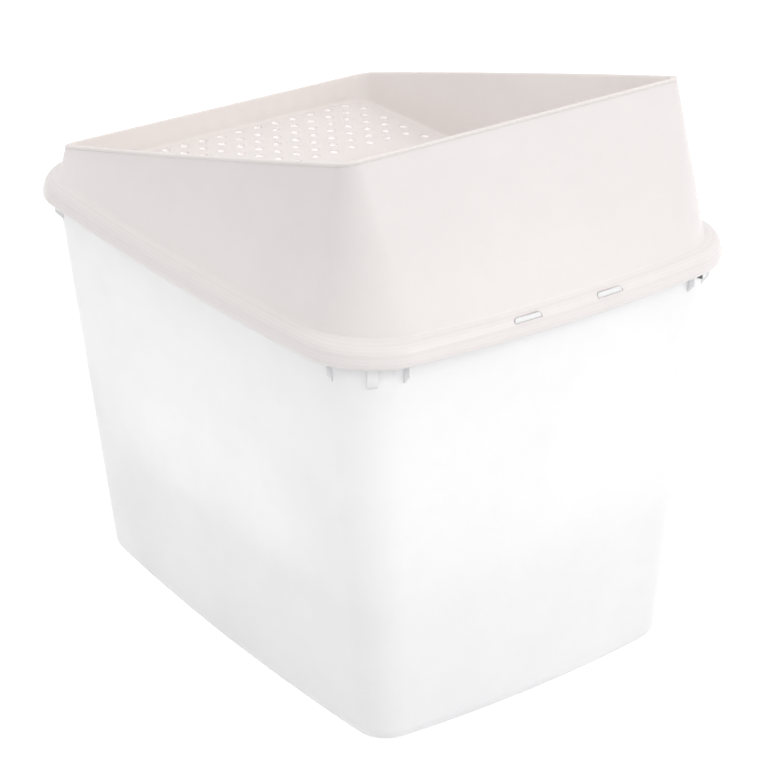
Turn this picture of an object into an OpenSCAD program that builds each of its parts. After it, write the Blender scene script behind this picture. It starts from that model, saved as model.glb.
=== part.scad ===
// Top entry litter box: a tapered bin, a lift-off hood with a sloping rim, and a
// step tray that hangs in the hood and has a perforated step and an entry opening.
// +X points to the tall end of the hood, +Z is up, and the origin is on the floor
// under the middle of the bin.

/* [Bin] */
// Height of the bin's rim above the floor
bin_height = 345.2; // [250:0.1:420]
// Length of the bin's floor between its corners
floor_length = 407; // [330:1:430]
// Width of the bin's floor between its corners
floor_width = 289.4; // [220:0.1:320]
// Corner radius at the floor
floor_corner_r = 25.5; // [16:0.5:40]
// Outward bow of each end at the floor
floor_end_bow = 9; // [0:0.5:14]
// Outward bow of each long side at the floor
floor_side_bow = 8.5; // [0:0.5:14]
// Radius round the foot of the walls
foot_r = 14; // [6:0.5:18]
// Wall and floor thickness of the bin
bin_wall = 2.5; // [1.8:0.1:4]
// Corner radius of the bin's wall at its rim
bin_corner_r = 35; // [28:0.5:44]
// Thickness of the bin's turned-out rim
rim_t = 2.4; // [1.6:0.1:3.5]
// Depth of the rim's turned-down edge
rim_drop = 8.2; // [5:0.1:9]
// Width of the rim outside the wall
rim_reach = 5.3; // [4.6:0.1:7]

/* [Hood] */
// Length of the hood's lip between its corners
lip_length = 471; // [450:1:560]
// Width of the hood's lip between its corners
lip_width = 370; // [340:1:440]
// Corner radius of the lip
lip_corner_r = 52.5; // [40:0.5:70]
// Outward bow of each end at the lip
lip_end_bow = 14.5; // [0:0.5:20]
// Outward bow of each long side at the lip
lip_side_bow = 9; // [0:0.5:15]
// Distance from the lip in to the bin's wall
bin_inset = 12.7; // [12.7:0.1:18]
// Height of the skirt from its lower edge to the shoulder
skirt_height = 12; // [11:0.1:16]
// Rise of the shoulder from its outer edge to the hood wall
shoulder_rise = 6; // [4:0.1:10]
// Width of the shoulder from the lip in to the hood wall
shoulder_width = 11.4; // [10.5:0.1:16]
// Corner radius at the foot of the hood wall
hood_foot_r = 50; // [34:1:60]
// Wall thickness of the hood
hood_wall = 2.2; // [1.6:0.1:3]
// Height of the rim at the low end
rim_low = 367; // [362:0.5:400]
// Height of the rim at the tall end
rim_high = 473.4; // [430:0.1:540]
// Distance from the middle to the rim's low end
rim_front_x = 225; // [190:1:228]
// Distance from the middle to the rim's tall end
rim_rear_x = 190; // [165:1:215]
// Width of the rim between its corners
rim_width = 308; // [270:1:326]
// Corner radius of the rim
rim_corner_r = 14; // [11:0.5:30]
// Outward bow of each long side of the rim
rim_side_bow = 5; // [0:0.5:8]

/* [Corners] */
// Width of the middle gusset under each corner of the bin's rim
gusset_width = 8; // [5:0.5:10]
// Thickness of the gussets beside it
rib_t = 2; // [1.2:0.1:3]
// Depth of the gussets' upright outer edge below the bin's rim
gusset_edge = 22; // [14:0.5:24]
// Depth of the thick web between the gussets below the bin's rim
web_drop = 20.5; // [12:0.5:24]
// Depth of the middle gusset below the bin's rim
gusset_drop = 31; // [26:0.5:40]
// Depth of the gussets beside it
rib_drop = 30; // [26:0.5:40]
// Distance from the middle gusset to the point at 30 degrees of the corner
gusset_slide = 2.7; // [0:0.1:5]

/* [Snap hooks and windows] */
// Length of each window in the shoulder
window_length = 24.5; // [22:0.5:30]
// Distance from the middle to each window
window_offset = 38; // [30:1:60]
// Distance from the lip in to the far edge of a window
window_reach = 5.9; // [5.7:0.1:6.4]
// Corner radius of a window
window_r = 3.5; // [1:0.5:4]
// Width of each snap hook
hook_width = 18; // [12:0.5:26]
// Thickness of a hook's blade
hook_t = 1.2; // [1:0.1:1.5]
// Reach of a hook's nose
nose_reach = 1.2; // [0.8:0.1:1.3]
// Depth of a hook below the lip
hook_drop = 2.2; // [1:0.1:5]
// Gap round the head of a hook in its window
head_gap = 0.6; // [0.5:0.1:1]

/* [Step tray] */
// Height of the step's top face
step_height = 347.8; // [347:0.1:356]
// Thickness of the step
step_t = 2.2; // [1.6:0.1:2.4]
// Wall thickness of the tray
tray_wall = 1.8; // [1.4:0.1:2.6]
// Height of the tray's rim bead
bead_height = 2.6; // [2:0.1:5]
// Distance from the middle to the step's low end wall
step_front_x = 214; // [180:1:216]
// Distance from the middle to the tray's tall end wall, at the step
step_rear_x = 178; // [150:1:185]
// Width of the step between the side walls
step_width = 282; // [230:1:296]
// Corner radius at the step
step_corner_r = 22; // [10:0.5:30]
// Distance from the middle to the entry opening's low end edge
entry_front_x = 92; // [60:1:110]
// Distance from the middle to the entry opening's tall end edge
entry_rear_x = 148; // [110:1:165]
// Width of the entry opening
entry_width = 194; // [150:1:220]
// Corner radius of the entry opening
entry_corner_r = 17; // [8:1:60]
// Depth of the collar that hangs from the edge of the entry opening
entry_collar = 9; // [5:0.5:20]
// Diameter of the perforations
hole_d = 7; // [4:0.5:9]
// Distance between perforations along a row
hole_pitch = 18.3; // [12:0.1:26]
// Distance between rows
row_pitch = 14.8; // [10:0.1:20]
// Number of rows
row_count = 8; // [3:1:10]
// Least distance from a perforation's middle to a wall
hole_margin = 8; // [6:0.5:10]
// Least distance from a perforation's middle to the entry opening
entry_margin = 24.5; // [8:0.5:40]

/* [Fits] */
// Gap between pieces that lift apart
seat_gap = 0.3; // [0.2:0.05:0.5]
// Gap round a snap hook
hook_gap = 0.4; // [0.3:0.05:0.6]

/* [Hidden] */
arc_steps = 6;
side_steps = 6;
end_step = 8;
foot_steps = 3;
middle_rib = 2;
last_rib = 5;
web_first = 1;
web_last = 4;
min_r = 2;
$fn = 32;
hole_facets = 24;
eps = 0.6;
bury = 0.4;
over = 1;

// heights worked out from the bin's rim
shoulder_z = bin_height + 1.5;
lip_z = shoulder_z - skirt_height;
hood_foot_z = shoulder_z + shoulder_rise;
rim_bottom = bin_height - rim_drop;
rim_slope = (rim_high - rim_low) / (rim_front_x + rim_rear_x);
rim_inset = bin_inset - rim_reach;
window_drop = 0.7;

// Straight row of points between two corners: one near each end, the rest even
function side_points(p, q) =
    let (l = norm(q - p), n = (q - p) / l)
    concat([p + n * end_step],
        [for (i = [1 : side_steps - 1]) p + n * l * i / side_steps],
        [q - n * end_step]);

// Quarter circle about c
function corner_points(c, r, from) =
    [for (i = [0 : arc_steps]) c + r * [cos(from + 90 * i / arc_steps), sin(from + 90 * i / arc_steps)]];

// Rectangle with round corners, from -front to rear and from -half to half
function round_box(front, rear, half, r) =
    let (a = corner_points([rear - r, half - r], r, 0),
        b = corner_points([r - front, half - r], r, 90),
        c = corner_points([r - front, r - half], r, 180),
        d = corner_points([rear - r, r - half], r, 270))
    concat(a, side_points(a[arc_steps], b[0]), b, side_points(b[arc_steps], c[0]),
        c, side_points(c[arc_steps], d[0]), d, side_points(d[arc_steps], a[0]));

// The same with its ends and sides bowed outward between corners that stay put
function bowed(front, rear, half, end_bow, side_bow, points) =
    let (mid = (rear - front) / 2, reach = (rear + front) / 2)
    [for (p = points)
        let (u = (p.x - mid) / reach, v = p.y / half)
        [p.x + end_bow * u * (1 - v * v), p.y + side_bow * v * (1 - u * u)]];

function outline(front, rear, half, r, end_bow, side_bow) =
    bowed(front, rear, half, end_bow, side_bow, round_box(front, rear, half, max(r, min_r)));

// The lip's outline moved inward by d
function lip_outline(d) =
    outline(lip_length / 2 - d, lip_length / 2 - d, lip_width / 2 - d, lip_corner_r - d,
        lip_end_bow, lip_side_bow);

// The bin's outer outline at height z, moved inward by d
function bin_outline(z, d) =
    let (t = z / bin_height,
        top_x = lip_length / 2 - bin_inset,
        top_y = lip_width / 2 - bin_inset,
        x = floor_length / 2 * (1 - t) + top_x * t - d,
        y = floor_width / 2 * (1 - t) + top_y * t - d,
        r = floor_corner_r * (1 - t) + bin_corner_r * t - d)
    outline(x, x, y, r, floor_end_bow * (1 - t) + lip_end_bow * t,
        floor_side_bow * (1 - t) + lip_side_bow * t);

// The rim's outline moved inward by d
function rim_outline(d) =
    outline(rim_front_x - d, rim_rear_x - d, rim_width / 2 - d, rim_corner_r - d, 0, rim_side_bow);

// The tray's inner outline at the step, moved outward by d
function step_outline(d) =
    outline(step_front_x + d, step_rear_x + d, step_width / 2 + d, step_corner_r + d, 0, 0);

// Outlines lifted to a height, or on to the sloping plane of the rim
function level(points, z) = [for (p = points) [p.x, p.y, z]];
function sloped(points, drop) =
    [for (p = points) [p.x, p.y, rim_low + (p.x + rim_front_x) * rim_slope - drop]];

function ring_faces(n, a, b) =
    [for (i = [0 : n - 1], side = [0, 1])
        side == 0 ? [a * n + i, b * n + i, b * n + (i + 1) % n]
                  : [a * n + i, b * n + (i + 1) % n, a * n + (i + 1) % n]];

// Skin over a stack of rings, closed by a flat face at each end
module capped_loft(rings) {
    n = len(rings[0]);
    last = len(rings) - 1;
    polyhedron(
        points = [for (r = rings, p = r) p],
        faces = concat([[for (i = [0 : n - 1]) i]],
            [[for (i = [n - 1 : -1 : 0]) last * n + i]],
            [for (k = [0 : last - 1], f = ring_faces(n, k, k + 1)) f]),
        convexity = 6);
}

// Skin over a loop of rings, whose last ring joins the first
module looped_loft(rings) {
    n = len(rings[0]);
    count = len(rings);
    polyhedron(
        points = [for (r = rings, p = r) p],
        faces = [for (k = [0 : count - 1], f = ring_faces(n, k, (k + 1) % count)) f],
        convexity = 6);
}

// Distance from the rim's edge in to the bin's wall at height z, at one point of a corner
function wall_gap(step, z) =
    let (turn = 90 * step / arc_steps)
    (lip_outline(rim_inset)[step] - bin_outline(z, 0)[step]) * [cos(turn), sin(turn)];

// Gusset under the bin's rim, at one point of the corner arc or slid along from it.
// It runs on into the wall.
module gusset(step, width, drop, slide) {
    edge = lip_outline(rim_inset)[step];
    foot_z = bin_height - drop;
    inner = wall_gap(step, foot_z) + bury;
    translate([edge.x, edge.y, 0])
    rotate([90, 0, 90 * step / arc_steps])
    translate([0, 0, -slide])
    linear_extrude(width, center = true)
    polygon([
        [-bury, bin_height - rim_t / 2],
        [-bury, bin_height - gusset_edge],
        [-inner, foot_z],
        [-inner, bin_height - rim_t / 2]
    ]);
}

// Thick web that fills the corner behind the rim's edge, round the middle gusset
module web() {
    outer = lip_outline(rim_inset + rim_t - bury);
    inner = lip_outline(rim_inset + rim_t + rim_reach);
    translate([0, 0, bin_height - web_drop])
    linear_extrude(web_drop - rim_t / 2)
    polygon(concat([for (i = [web_first : web_last]) outer[i]],
        [for (i = [web_last : -1 : web_first]) inner[i]]));
}

// Rings of the bin's rounded foot, moved inward by d
function foot_rings(d) =
    [for (k = [0 : foot_steps])
        let (turn = 90 * k / foot_steps, r = foot_r - d, z = d + r * (1 - cos(turn)))
        level(bin_outline(z, d + r * (1 - sin(turn))), z)];

// Tapered tub with bowed walls, a rounded foot and a rim that turns out and down
module bin() {
    rim_edge = 0.8;
    color("white")
    difference() {
        union() {
            capped_loft(concat(foot_rings(0), [
                level(bin_outline(bin_height - rim_t, 0), bin_height - rim_t),
                level(lip_outline(rim_inset + rim_t), bin_height - rim_t),
                level(lip_outline(rim_inset + rim_t), rim_bottom),
                level(lip_outline(rim_inset), rim_bottom),
                level(lip_outline(rim_inset), bin_height - rim_edge),
                level(lip_outline(rim_inset + rim_edge), bin_height)
            ]));
            for (x = [0, 1], y = [0, 1])
                mirror([x, 0, 0]) mirror([0, y, 0]) {
                    gusset(0, rib_t, rib_drop, 0);
                    gusset(middle_rib, gusset_width, gusset_drop, gusset_slide);
                    gusset(last_rib, rib_t, rib_drop, 0);
                    web();
                }
        }
        capped_loft(concat(foot_rings(bin_wall), [
            level(bin_outline(bin_height + over, bin_wall), bin_height + over)
        ]));
    }
}

// Plan of the window on the right side of the tall end, moved inward by d
module window_plan(d) {
    r = window_r - d;
    half = window_length / 2 - d;
    past = 2 * window_reach;
    translate([lip_end_x(window_offset) - window_reach + d, window_offset])
    union() {
        translate([r, -half])
            square([past, 2 * half]);
        translate([0, r - half])
            square([past, 2 * (half - r)]);
        for (y = [r - half, half - r])
            translate([r, y]) circle(r);
    }
}

// Place of the lip's end at a distance y from the middle
function lip_end_x(y) =
    lip_length / 2 + lip_end_bow * (1 - pow(2 * y / lip_width, 2));

// Slot that a hook's neck goes up through, under its window
module neck_slot() {
    slot_length = hook_width + 2 * hook_gap;
    slot_out = 3.9;
    slot_in = 6.5;
    slot_drop = 4;
    translate([lip_end_x(window_offset), window_offset, shoulder_z - slot_drop])
    rotate([0, 0, end_turn()])
    translate([-slot_in, -slot_length / 2, 0])
    cube([slot_in - slot_out, slot_length, slot_drop]);
}

// Windows of both ends, two at each, with their slots
module windows() {
    for (end = [0, 1], hand = [0, 1])
        mirror([end, 0, 0]) mirror([0, hand, 0]) {
            translate([0, 0, shoulder_z - window_drop])
                linear_extrude(shoulder_rise)
                window_plan(0);
            neck_slot();
        }
}

// Turn of the lip's end at the middle of a window
function end_turn() = atan(2 * lip_end_bow * window_offset / pow(lip_width / 2, 2));

// Foot of the hood's wall, moved inward by d from the lip
function hood_foot(d) =
    outline(lip_length / 2 - shoulder_width - d, lip_length / 2 - shoulder_width - d,
        lip_width / 2 - shoulder_width - d, hood_foot_r - d, lip_end_bow, lip_side_bow);

// Hood: a wall that rises to a sloping rim, a shoulder, and a skirt with a rolled lip
module hood() {
    hem_in = 1.6;
    hem_low = 2;
    hem_high = 5.2;
    hem_fall = 0.2;
    band_z = lip_z + 7.5;
    band_in = 1.1;
    band_top_in = 2;
    round_z = [-0.7, 1.5, 3.3];
    round_in = [band_top_in, 3.6, 5.6];
    crest_in = 1.8;
    crest_drop = 1.3;
    inner_in = [5.1, 4.2, 2.6];
    inner_z = [shoulder_z - 3, shoulder_z - 4.1, lip_z + 4.9];
    top = bead_height + seat_gap;
    color([0.87, 0.84, 0.82])
    difference() {
        looped_loft([
            level(lip_outline(hem_in), lip_z),
            level(lip_outline(0), lip_z + hem_low),
            level(lip_outline(hem_fall), lip_z + hem_high),
            level(lip_outline(band_in), band_z),
            for (k = [0 : len(round_z) - 1]) level(lip_outline(round_in[k]), shoulder_z + round_z[k]),
            level(lip_outline(shoulder_width - crest_in), hood_foot_z - crest_drop),
            level(hood_foot(0), hood_foot_z),
            sloped(rim_outline(0), top),
            sloped(rim_outline(hood_wall), top),
            level(hood_foot(hood_wall), hood_foot_z - seat_gap - eps),
            level(lip_outline(rim_inset + eps), bin_height + seat_gap),
            for (k = [0 : len(inner_z) - 1]) level(lip_outline(inner_in[k]), inner_z[k]),
            level(lip_outline(hem_in + hood_wall - eps), lip_z)
        ]);
        windows();
    }
}

// Rounded rectangle between two x values, flat on the floor
module slab_outline(front, rear, width, r) {
    polygon(round_box(front, rear, width / 2, r));
}

// Distance from p out to a rectangle with round corners, less than 0 inside it
function box_distance(p, front, rear, half, r) =
    norm([max(abs(p.x - (rear - front) / 2) - (rear + front) / 2 + r, 0),
        max(abs(p.y) - half + r, 0)]) - r;

// Rows of perforations, every other row set over by half a pitch. They keep their
// distance from the walls and from the entry opening.
module perforations() {
    columns = ceil(step_width / hole_pitch / 2);
    for (row = [0 : row_count - 1], k = [-columns : columns]) {
        p = [hole_margin - step_front_x + row * row_pitch,
            (k + (row + 1) % 2 / 2) * hole_pitch];
        wall = box_distance(p, step_front_x, step_rear_x, step_width / 2, step_corner_r);
        entry = box_distance(p, entry_front_x, entry_rear_x, entry_width / 2, entry_corner_r);
        if (wall <= -hole_margin && entry >= entry_margin)
            translate([p.x, p.y, step_height - step_t - over])
            cylinder(h = step_t + 2 * over, d = hole_d, $fn = hole_facets);
    }
}

// Step tray: a bead that sits on the hood's rim, walls that fall inward to the step,
// and a flat step with rows of perforations and the entry opening
module step_tray() {
    bead_edge = 0.8;
    bead_reach = hood_wall + seat_gap + tray_wall;
    under = step_height - step_t;
    color([0.86, 0.82, 0.81])
    union() {
        looped_loft([
            sloped(rim_outline(0), bead_height),
            sloped(rim_outline(0), bead_edge),
            sloped(rim_outline(bead_edge), 0),
            sloped(rim_outline(bead_reach - bead_edge), 0),
            sloped(rim_outline(bead_reach), bead_edge),
            level(step_outline(0), step_height),
            level(step_outline(0), under),
            level(step_outline(tray_wall), under),
            sloped(rim_outline(hood_wall + seat_gap), bead_height)
        ]);
        difference() {
            translate([0, 0, under])
                linear_extrude(step_t)
                slab_outline(step_front_x + eps, step_rear_x + eps, step_width + 2 * eps, step_corner_r + eps);
            translate([0, 0, under - over])
                linear_extrude(step_t + 2 * over)
                slab_outline(entry_front_x, entry_rear_x, entry_width, entry_corner_r);
            perforations();
        }
        difference() {
            translate([0, 0, step_height - entry_collar])
                linear_extrude(entry_collar - step_t + eps)
                slab_outline(entry_front_x + tray_wall, entry_rear_x + tray_wall,
                    entry_width + 2 * tray_wall, entry_corner_r + tray_wall);
            translate([0, 0, step_height - entry_collar - over])
                linear_extrude(entry_collar + 2 * over)
                slab_outline(entry_front_x, entry_rear_x, entry_width, entry_corner_r);
        }
    }
}

// Snap hook: a blade inside the skirt, with a nose at the height of the lower edge of
// the bin's rim and a head that fills the window above. It is drawn for the right side
// of the tall end.
module snap_hook() {
    blade_in = rim_inset - seat_gap - nose_reach;
    root_drop = 3.9;
    nose_height = 1.6;
    blade_top = shoulder_z - root_drop;
    nose_top = rim_bottom - hook_gap;
    nose_bottom = nose_top - nose_height;
    head_z = shoulder_z - window_drop + seat_gap;
    head_top = head_z + 3;
    head_ins = [2.7, 3.8, 4.9];
    neck_ins = [4.4, 5.2];
    color("white")
    union() {
        translate([lip_end_x(window_offset), window_offset, 0])
        rotate([90, 0, end_turn()])
        linear_extrude(hook_width, center = true)
        polygon([
            [-blade_in, blade_top],
            [-neck_ins[1], head_z + eps],
            [-neck_ins[0], head_z + eps],
            [hook_t - blade_in, blade_top],
            [hook_t - blade_in, lip_z - hook_drop],
            [-blade_in, lip_z - hook_drop],
            [-blade_in - nose_reach, nose_bottom],
            [-blade_in - nose_reach, nose_top],
            [-blade_in, nose_top]
        ]);
        intersection() {
            translate([0, 0, head_z])
                linear_extrude(shoulder_rise)
                window_plan(head_gap);
            translate([lip_end_x(window_offset), window_offset, 0])
                rotate([90, 0, end_turn()])
                linear_extrude(window_length, center = true)
                polygon([
                    [-head_ins[2], head_z],
                    [-head_ins[2], head_top],
                    [-head_ins[1], head_top - eps],
                    [-head_ins[0], head_z]
                ]);
        }
    }
}

module rear_hook_left() { mirror([0, 1, 0]) snap_hook(); }
module rear_hook_right() { snap_hook(); }
module front_hook_left() { mirror([1, 0, 0]) mirror([0, 1, 0]) snap_hook(); }
module front_hook_right() { mirror([1, 0, 0]) snap_hook(); }

bin();
hood();
step_tray();
rear_hook_left();
rear_hook_right();
front_hook_left();
front_hook_right();
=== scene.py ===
"""Looks of a top entry litter box: moulded bin, hood, step tray and snap hooks.

Every length is in metres, in the frame of the packed model: +X points to the tall end of
the hood, +Z is up, and the origin is on the floor under the middle of the bin.
"""

import math

import bmesh
import bpy
import numpy as np
from bpy.props import FloatProperty, FloatVectorProperty, IntProperty, PointerProperty
from mathutils import Matrix, Vector
from mathutils.geometry import delaunay_2d_cdt


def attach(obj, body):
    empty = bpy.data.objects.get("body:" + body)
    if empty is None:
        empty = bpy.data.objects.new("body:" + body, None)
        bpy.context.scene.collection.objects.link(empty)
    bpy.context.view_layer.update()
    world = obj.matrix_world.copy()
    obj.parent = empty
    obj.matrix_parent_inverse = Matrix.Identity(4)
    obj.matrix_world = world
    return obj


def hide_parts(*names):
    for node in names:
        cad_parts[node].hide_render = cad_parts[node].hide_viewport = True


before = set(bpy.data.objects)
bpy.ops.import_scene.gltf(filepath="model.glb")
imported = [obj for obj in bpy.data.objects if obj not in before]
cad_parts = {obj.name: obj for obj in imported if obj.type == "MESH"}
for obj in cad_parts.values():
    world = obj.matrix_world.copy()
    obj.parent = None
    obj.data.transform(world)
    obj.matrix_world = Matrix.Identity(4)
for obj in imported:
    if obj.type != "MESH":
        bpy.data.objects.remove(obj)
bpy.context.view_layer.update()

bl_info = {
    "name": "Top entry litter box",
    "version": (1, 0, 0),
    "blender": (4, 5, 0),
    "location": "3D view > Sidebar > Litter box",
    "description": "Builds the mouldings of a top entry litter box and its studio",
    "category": "Object",
}

# Steps round each corner of an outline, and points along each side
ARC = 18
SIDE = 22
# Longest step between rows, and distance from an edge to the row that keeps shading flat
SPAN = 0.014
SUPPORT = 0.0006
# Largest share of a span that the round at one of its ends takes
ROUND_SHARE = 0.48
# Steps round a softened edge, and round the foot of the bin
ROUND_STEPS = 5
FOOT_STEPS = 12
# Gap between pieces that lift apart, and depth by which gussets and webs enter the wall
SEAT_GAP = 0.0003
BURY = 0.0006
# Edges at a larger angle are shaded sharp, and smaller distances count as none
SHARP_ANGLE = math.radians(40)
TINY = 1e-6
# Signs of x and y in the four corners
CORNERS = ((1, 1), (-1, 1), (-1, -1), (1, -1))


# Settings

def length(label, text, value):
    """A length that a user may change, in metres."""
    return FloatProperty(name=label, description=text, default=value, min=0.0,
                         unit="LENGTH", subtype="DISTANCE", precision=4)


def colour(label, text, value):
    """A linear colour that a user may change."""
    return FloatVectorProperty(name=label, description=text, default=value, size=3,
                               min=0.0, max=1.0, subtype="COLOR")


def share(label, text, value):
    """A plain number from 0 to 1 that a user may change."""
    return FloatProperty(name=label, description=text, default=value, min=0.0, max=1.0,
                         subtype="FACTOR")


class BinSettings(bpy.types.PropertyGroup):
    """Sizes of the bin."""

    height: length("Height", "Height of the rim above the floor", 0.3452)
    floor_length: length("Floor length", "Length of the floor between its corners", 0.407)
    floor_width: length("Floor width", "Width of the floor between its corners", 0.2894)
    floor_corner: length("Floor corner", "Corner radius at the floor", 0.0255)
    floor_end_bow: length("End bow", "Outward bow of each end at the floor", 0.009)
    floor_side_bow: length("Side bow", "Outward bow of each side at the floor", 0.0085)
    foot_round: length("Foot round", "Radius round the foot of the walls", 0.014)
    wall: length("Wall", "Wall and floor thickness", 0.0025)
    corner: length("Corner", "Corner radius of the wall at the rim", 0.035)
    rim: length("Rim", "Thickness of the turned-out rim", 0.0024)
    rim_drop: length("Rim drop", "Depth of the rim's turned-down edge", 0.0082)
    rim_reach: length("Rim reach", "Width of the rim outside the wall", 0.0053)
    gusset: length("Gusset", "Width of the middle gusset at each corner", 0.008)
    rib: length("Rib", "Thickness of the gussets beside it", 0.002)
    gusset_edge: length("Gusset edge", "Depth of a gusset's upright outer edge", 0.022)
    gusset_drop: length("Gusset drop", "Depth of the middle gusset", 0.031)
    rib_drop: length("Rib drop", "Depth of the gussets beside it", 0.030)
    web_drop: length("Web drop", "Depth of the web round the middle gusset", 0.0205)
    gusset_slide: length("Gusset slide", "Distance of the middle gusset from 30 degrees",
                         0.0027)
    colour: colour("Colour", "Colour of the bin", (0.875, 0.875, 0.885))


class HoodSettings(bpy.types.PropertyGroup):
    """Sizes of the hood."""

    lip_length: length("Lip length", "Length of the lip between its corners", 0.471)
    lip_width: length("Lip width", "Width of the lip between its corners", 0.370)
    lip_corner: length("Lip corner", "Corner radius of the lip", 0.0525)
    lip_end_bow: length("End bow", "Outward bow of each end of the lip", 0.0145)
    lip_side_bow: length("Side bow", "Outward bow of each side of the lip", 0.009)
    bin_inset: length("Bin inset", "Distance from the lip in to the bin's wall", 0.0127)
    skirt: length("Skirt", "Height from the lip's lower edge to the shoulder", 0.012)
    shoulder_rise: length("Shoulder rise", "Rise of the shoulder up to the wall", 0.006)
    shoulder: length("Shoulder", "Width of the shoulder in to the wall", 0.0114)
    foot_corner: length("Foot corner", "Corner radius at the foot of the wall", 0.050)
    wall: length("Wall", "Wall thickness", 0.0022)
    rim_low: length("Rim low", "Height of the rim at the low end", 0.367)
    rim_high: length("Rim high", "Height of the rim at the tall end", 0.4734)
    rim_front: length("Rim front", "Distance from the middle to the low end", 0.225)
    rim_rear: length("Rim rear", "Distance from the middle to the tall end", 0.190)
    rim_width: length("Rim width", "Width of the rim between its corners", 0.308)
    rim_corner: length("Rim corner", "Corner radius of the rim", 0.014)
    rim_side_bow: length("Rim bow", "Outward bow of each side of the rim", 0.005)
    window: length("Window", "Length of each window in the shoulder", 0.0245)
    window_offset: length("Window offset", "Distance from the middle to a window", 0.038)
    window_reach: length("Window reach", "Depth of a window from the lip inward", 0.0059)
    window_corner: length("Window corner", "Corner radius of a window", 0.0035)
    colour: colour("Colour", "Colour of the hood", (0.78, 0.738, 0.728))


class TraySettings(bpy.types.PropertyGroup):
    """Sizes of the step tray."""

    step: length("Step height", "Height of the step's top face", 0.3478)
    thick: length("Step thickness", "Thickness of the step", 0.0022)
    wall: length("Wall", "Wall thickness", 0.0018)
    bead: length("Bead", "Height of the bead on the hood's rim", 0.0026)
    front: length("Front", "Distance from the middle to the low end wall", 0.214)
    rear: length("Rear", "Distance from the middle to the tall end wall", 0.178)
    width: length("Width", "Width of the step", 0.282)
    corner: length("Corner", "Corner radius at the step", 0.022)
    entry_front: length("Entry front", "Distance to the opening's low end", 0.092)
    entry_rear: length("Entry rear", "Distance to the opening's tall end", 0.148)
    entry_width: length("Entry width", "Width of the entry opening", 0.194)
    entry_corner: length("Entry corner", "Corner radius of the opening", 0.017)
    collar: length("Collar", "Depth of the collar under the opening", 0.009)
    hole: length("Hole", "Diameter of a perforation", 0.007)
    hole_pitch: length("Hole pitch", "Distance between holes along a row", 0.0183)
    row_pitch: length("Row pitch", "Distance between rows", 0.0148)
    rows: IntProperty(name="Rows", description="Number of rows", default=8, min=1, max=10)
    hole_margin: length("Wall margin", "Least distance from a hole to a wall", 0.008)
    entry_margin: length("Entry margin", "Least distance from a hole to the opening", 0.0245)
    colour: colour("Colour", "Colour of the tray", (0.78, 0.727, 0.705))


class StageSettings(bpy.types.PropertyGroup):
    """Light and floor."""

    ambient: FloatProperty(name="Ambient", description="Strength of the light all round",
                           default=0.92, min=0.0)
    key: FloatProperty(name="Key", description="Power of the lamp at the tall end",
                       default=16.0, min=0.0, unit="POWER")
    top: FloatProperty(name="Top", description="Power of the lamp above",
                       default=5.0, min=0.0, unit="POWER")
    floor: share("Floor", "How pale the floor is", 0.80)
    floor_glow: share("Floor glow", "White added to the floor as the camera sees it", 0.7)
    fill: FloatProperty(name="Fill", description="Power of the lamp inside the bin",
                        default=0.8, min=0.0, unit="POWER")


def settings(name):
    """The scene's settings of one piece."""
    return getattr(bpy.context.scene, name)


# Outlines

def outline(front, rear, half, radius, end_bow=0.0, side_bow=0.0):
    """Points round a rectangle with round corners, from -front to rear.

    Each corner is centre + radius * (cos a, sin a) over a quarter turn, and each side is a
    straight row of points. With u and v as the position from -1 to 1 along and across, x
    then moves out by end_bow * u * (1 - v * v) and y by side_bow * v * (1 - u * u).
    """
    turn = np.linspace(0.0, math.pi / 2, ARC + 1)
    angle = turn[None, :] + np.arange(4)[:, None] * math.pi / 2
    cx = np.array([rear - radius, radius - front, radius - front, rear - radius])
    cy = np.array([1, 1, -1, -1]) * (half - radius)
    corners = np.stack([cx[:, None] + radius * np.cos(angle),
                        cy[:, None] + radius * np.sin(angle)], axis=2)
    start, end = corners[:, -1], np.roll(corners[:, 0], -1, axis=0)
    t = np.linspace(0.0, 1.0, SIDE + 2)[1:-1, None]
    sides = start[:, None] * (1 - t) + end[:, None] * t
    points = np.concatenate([corners, sides], axis=1).reshape(-1, 2)
    u = (points[:, 0] - (rear - front) / 2) / ((rear + front) / 2)
    v = points[:, 1] / half
    return np.stack([points[:, 0] + end_bow * u * (1 - v * v),
                     points[:, 1] + side_bow * v * (1 - u * u)], axis=1)


def lip_outline(inset, corner=None):
    """The lip's outline moved inward."""
    h = settings("lb_hood")
    radius = (h.lip_corner if corner is None else corner) - inset * (corner is None)
    return outline(h.lip_length / 2 - inset, h.lip_length / 2 - inset,
                   h.lip_width / 2 - inset, radius, h.lip_end_bow, h.lip_side_bow)


def bin_outline(z, inset):
    """The bin's outer outline at height z, moved inward: a straight blend of the floor's
    outline and the outline under the rim."""
    b, h = settings("lb_bin"), settings("lb_hood")
    t = z / b.height
    top_x = h.lip_length / 2 - h.bin_inset
    top_y = h.lip_width / 2 - h.bin_inset
    x = b.floor_length / 2 * (1 - t) + top_x * t - inset
    y = b.floor_width / 2 * (1 - t) + top_y * t - inset
    r = b.floor_corner * (1 - t) + b.corner * t - inset
    return outline(x, x, y, max(r, 0.002),
                   b.floor_end_bow * (1 - t) + h.lip_end_bow * t,
                   b.floor_side_bow * (1 - t) + h.lip_side_bow * t)


def rim_outline(inset):
    """The hood's rim outline moved inward."""
    h = settings("lb_hood")
    return outline(h.rim_front - inset, h.rim_rear - inset, h.rim_width / 2 - inset,
                   h.rim_corner - inset, 0.0, h.rim_side_bow)


def step_outline(outset):
    """The tray's inner outline at the step, moved outward."""
    s = settings("lb_tray")
    return outline(s.front + outset, s.rear + outset, s.width / 2 + outset,
                   s.corner + outset)


def entry_outline(outset):
    """The entry opening's outline, moved outward."""
    s = settings("lb_tray")
    return outline(s.entry_front + outset, s.entry_rear + outset,
                   s.entry_width / 2 + outset, s.entry_corner + outset)


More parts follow.
